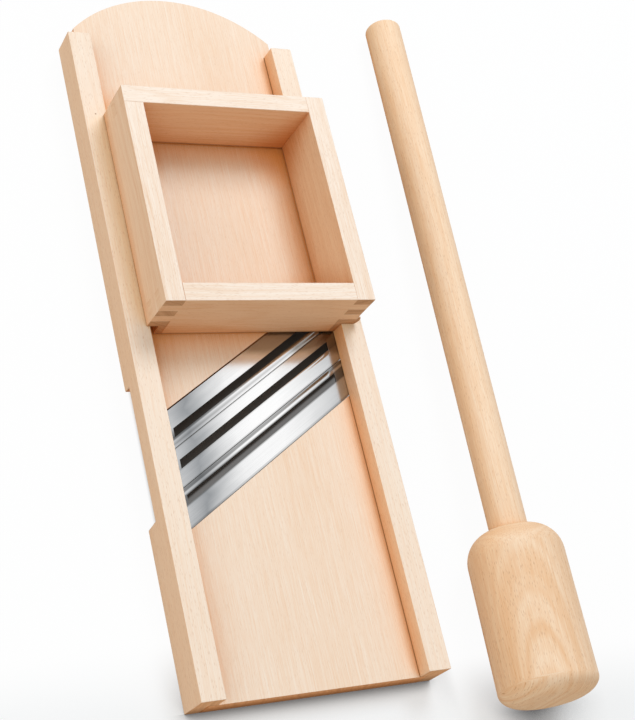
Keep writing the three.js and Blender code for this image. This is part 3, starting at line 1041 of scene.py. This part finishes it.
class SHREDDER_OT_stomper(bpy.types.Operator):
    """Turns the stomper's head and handle"""

    bl_idname = "shredder.stomper"
    bl_label = "Stomper"

    def execute(self, context):
        flats = context.scene.shredder_sizes.turning_flats
        outline, head, handle, end_ring = self.profiles()
        slopes = [(radius - HANDLE_TOP_RADIUS) / (end_ring - height) for radius, height in outline]
        tilt = math.atan(max(slopes))
        rest_height = end_ring * math.sin(tilt) + HANDLE_TOP_RADIUS * math.cos(tilt)
        place = Matrix.Translation((STOMPER_PLACE[0] * MM, STOMPER_PLACE[1] * MM, rest_height * MM))
        pose = place @ Matrix.Rotation(-STOMPER_TURN, 4, "Z") @ Matrix.Rotation(-tilt, 4, "X")
        axes = pose.to_3x3()
        origin = pose.translation * TO_MM
        end_colours = {"end": (0.96, 0.75, 0.54), "end_deep": (0.93, 0.71, 0.50)}
        head_look = {"lean": HEAD_LEAN, "flecks": 0.6, "ends": 0.0, "foot_wrap": HEAD_RADIUS}
        handle_look = {"flecks": 0.45, "ends": 0.75}
        parts = {
            "stomper_head": (head, head_look, (-13.3, -22.4), 7.0, 1.4, 21.0),
            "stomper_handle": (handle, handle_look, (60.0, 25.0), 24.0, 0.45, 25.0),
        }
        for node, (profile, changes, heart, wander, figure, seed) in parts.items():
            shrunk = [
                (radius * INSIDE_CAD, height + FOOT_ROOM * (1 - height / STOMPER_LENGTH))
                for radius, height in profile
            ]
            form = turned_form(shrunk, flats)
            bmesh.ops.transform(form, matrix=pose, verts=form.verts)
            piece = object_of(node + "_beech", form)
            smooth_by_angle(piece, WOOD_SMOOTH)
            # The stomper's upright faces keep a painted shade
            look = wood_look(context, stomper=True, side=(1.0, 0.92, 0.82), **end_colours, **changes)
            wood = beech(node + "_wood", look, axes.col[1], axes.col[0], heart, wander, seed, figure, origin)
            finish_piece(piece, wood, "stomper", node)
        return {"FINISHED"}

    @staticmethod
    def profiles():
        """The head's outline, both profiles, and the height of the ring where the handle's end rounds off."""
        quarter = math.pi / 2
        socket = HANDLE_RADIUS + SOCKET_GAP
        shoulder_wide = HEAD_NECK_RADIUS - socket - SHOULDER_FLAT
        shoulder = (HEAD_NECK_RADIUS - shoulder_wide, HEAD_LENGTH - SHOULDER_TALL)
        outline = arc((HEAD_RADIUS - FOOT_ROUND, FOOT_TALL), FOOT_ROUND, FOOT_TALL, -quarter, 0.0, 16)
        outline += arc(shoulder, shoulder_wide, SHOULDER_TALL, 0.0, quarter, 24)
        socket_foot = HEAD_LENGTH - SOCKET_DEPTH
        head = [
            (0.0, 0.0), *outline, (socket + 0.1, HEAD_LENGTH), (socket, HEAD_LENGTH - 0.3),
            (socket, socket_foot), (0.0, socket_foot),
        ]
        end_ring = STOMPER_LENGTH - HANDLE_ROUND
        end_centre = (HANDLE_TOP_RADIUS - HANDLE_ROUND, end_ring)
        handle = [
            (0.0, socket_foot + SOCKET_GAP), (HANDLE_RADIUS, socket_foot + SOCKET_GAP),
            (HANDLE_RADIUS, HEAD_LENGTH), *arc(end_centre, HANDLE_ROUND, HANDLE_ROUND, 0.0, quarter, 10),
            (0.0, STOMPER_LENGTH),
        ]
        return outline, head, handle, end_ring


class SHREDDER_OT_stage(bpy.types.Operator):
    """Sets the floor, the lamps, the sky and the camera"""

    bl_idname = "shredder.stage"
    bl_label = "Stage"

    camera_place = Vector((-0.53704, -0.50142, 1.01672))
    camera_aim = Vector((0.06152, -0.04045, 0.018))
    camera_roll = math.radians(44.588)

    def execute(self, context):
        stage = context.scene.shredder_stage
        self.floor()
        self.sky(context, stage.sky)
        for kind, (place, size, colour) in LAMPS.items():
            self.lamp(kind + "_lamp", getattr(stage, kind + "_power"), place, size, colour)
        self.camera(context, stage.lens)
        context.scene.view_settings.view_transform = "Standard"
        return {"FINISHED"}

    @staticmethod
    def sees_white(nodes):
        """1 for rays that see the background: from the camera, by reflection or through glass."""
        return nodes.ray("Camera").most(nodes.ray("Glossy")).most(nodes.ray("Transmission"))

    @staticmethod
    def painted_contact_shadow(nodes, reach, dark, low, high):
        """Painted shadow: white in the open, and dark where a piece stands near the floor, within reach in
        millimetres.
        """
        return nodes.mix((*dark, 1.0), WHITE, nodes.open_air(reach, 12).rise(low, high))

    def floor(self):
        """A white floor, with real and painted shadows at the pieces and a painted dark shade under the board,
        that is clear from below.
        """
        form = bmesh.new()
        bmesh.ops.create_grid(form, x_segments=1, y_segments=1, size=FLOOR_HALF)
        piece = object_of("floor", form)
        piece.location.z = -FLOOR_GAP
        material, nodes = new_finish("floor_white")
        piece.data.materials.append(material)

        sees = self.sees_white(nodes)
        place = nodes.place()
        x, y = place.dot(X_AXIS), place.dot(Y_AXIS)
        across_knives = (x * math.tan(KNIFE_ANGLE) + WINDOW_UPPER - y) * math.cos(KNIFE_ANGLE)
        under_board = (1.0 - abs(x).rise(90.0, 97.0)) * (1.0 - abs(y + 25.0).rise(262.0, 272.0))
        near_ends = 1.0 - (y + 300.0 + x.rise(110.0, 125.0) * 38.0).rise(-10.0, 55.0)

        # Painted shadows where pieces touch: a soft one at both lower ends, then closer ones at the stomper's
        # foot and along the board's end
        white = nodes.mix(WHITE, self.painted_contact_shadow(nodes, 50.0, (0.42, 0.42, 0.43), 0.05, 0.85), near_ends)
        foot = self.painted_contact_shadow(nodes, 55.0, (0.12, 0.12, 0.125), 0.45, 1.0)
        foot = nodes.mix(WHITE, foot, 1.0 - y.rise(-335.0, -320.0))
        white = nodes.mix(white, foot, x.rise(140.0, 190.0))
        end_painted_shadow = self.painted_contact_shadow(nodes, 14.0, (0.20, 0.19, 0.185), 0.40, 0.95)
        white = nodes.mix(white, white * end_painted_shadow, (y < -300.0) * (x < 110.0))

        # Mostly its own white, but lit and shaded like a real floor near the ends and below the slots; under
        # the board it takes a painted dark shade, with painted light below the lowest slot
        shade = nodes.mix((0.55, 0.55, 0.55, 1.0), (0.82, 0.91, 1.0, 1.0), sees)
        # A painted dark shade under the board, which shows through the slots
        shade = nodes.mix(shade, (0.17, 0.168, 0.165, 1.0), under_board)
        plain = nodes.add("BsdfDiffuse", {}, {"Color": shade * white})
        glow = nodes.add("Emission", {}, {"Color": white, "Strength": 1.0})
        # Painted light: the floor seen through the lowest slot glows a little
        below_low_slot = across_knives.rise(59.4, 61.6)
        shaded = (0.04 + near_ends * 0.42).most(under_board * (1.0 - below_low_slot * 0.13))
        surface = nodes.blend(sees * (1.0 - shaded), plain, glow)

        # A low light for the board's hidden underside, left out below the knives
        boards_above = (abs(x) < 100.0) * (abs(y + 25.5) < 274.0)
        arch_above = ((x / 86.0) ** 2.0 + ((y - 262.0) / 36.0) ** 2.0) < 1.0
        beside_knives = abs(across_knives - 40.0) > 46.0
        underside = nodes.ray("Diffuse") * boards_above.most(arch_above) * beside_knives
        low_glow = nodes.add("Emission", {}, {"Color": (1.0, 0.97, 0.93, 1.0), "Strength": 0.6})
        surface = nodes.blend(underside, surface, low_glow)
        from_below = nodes.add("NewGeometry", {}, {}, "Backfacing")
        surface = nodes.blend(from_below, surface, nodes.add("BsdfTransparent"))
        nodes.add("OutputMaterial", {}, {"Surface": surface})

    def sky(self, context, strength):
        world = bpy.data.worlds.new("studio")
        context.scene.world = world
        world.use_nodes = True
        nodes = Nodes(world.node_tree)
        sees = self.sees_white(nodes)
        level = strength + sees * (1.0 - strength)
        tint = nodes.mix((1.0, 0.89, 0.77, 1.0), WHITE, sees)
        sky = nodes.add("Background", {}, {"Color": tint, "Strength": level})
        nodes.add("OutputWorld", {}, {"Surface": sky})

    @staticmethod
    def lamp(name, power, place, size, colour):
        light = bpy.data.lights.new(name, "AREA")
        light.shape = "SQUARE"
        light.size = size
        light.energy = power
        light.color = colour
        lamp = bpy.data.objects.new(name, light)
        lamp.visible_glossy = False
        lamp.location = place
        aim = Vector(LAMP_AIM) - lamp.location
        lamp.rotation_euler = aim.to_track_quat("-Z", "Y").to_euler()
        bpy.context.scene.collection.objects.link(lamp)

    def camera(self, context, lens):
        data = bpy.data.cameras.new("camera")
        data.lens = lens
        data.sensor_width = 36.0
        camera = bpy.data.objects.new("camera", data)
        view = (self.camera_aim - self.camera_place).to_track_quat("-Z", "Y")
        roll = Matrix.Rotation(self.camera_roll, 4, "Z")
        camera.matrix_world = Matrix.Translation(self.camera_place) @ view.to_matrix().to_4x4() @ roll
        context.scene.collection.objects.link(camera)
        context.scene.camera = camera


OPERATORS = (
    SHREDDER_OT_rails, SHREDDER_OT_boards, SHREDDER_OT_knives, SHREDDER_OT_screws,
    SHREDDER_OT_box, SHREDDER_OT_stomper, SHREDDER_OT_stage,
)


class SHREDDER_PT_panel(bpy.types.Panel):
    """Lists the pieces, their sizes and their colours"""

    bl_label = "Cabbage shredder"
    bl_idname = "SHREDDER_PT_panel"
    bl_space_type = "VIEW_3D"
    bl_region_type = "UI"
    bl_category = "Shredder"

    def draw(self, context):
        for operator in OPERATORS:
            self.layout.operator(operator.bl_idname)
        for group_name in GROUPS:
            group = getattr(context.scene, group_name)
            for name in group.__annotations__:
                self.layout.prop(group, name)


def register():
    for made in (*GROUPS.values(), *OPERATORS, SHREDDER_PT_panel):
        bpy.utils.register_class(made)
    for name, group in GROUPS.items():
        setattr(bpy.types.Scene, name, bpy.props.PointerProperty(type=group))


def unregister():
    for name in GROUPS:
        delattr(bpy.types.Scene, name)
    for made in reversed((*GROUPS.values(), *OPERATORS, SHREDDER_PT_panel)):
        bpy.utils.unregister_class(made)


def main():
    register()
    for operator in OPERATORS:
        group, name = operator.bl_idname.split(".")
        getattr(getattr(bpy.ops, group), name)()


if __name__ == "__main__":
    main()
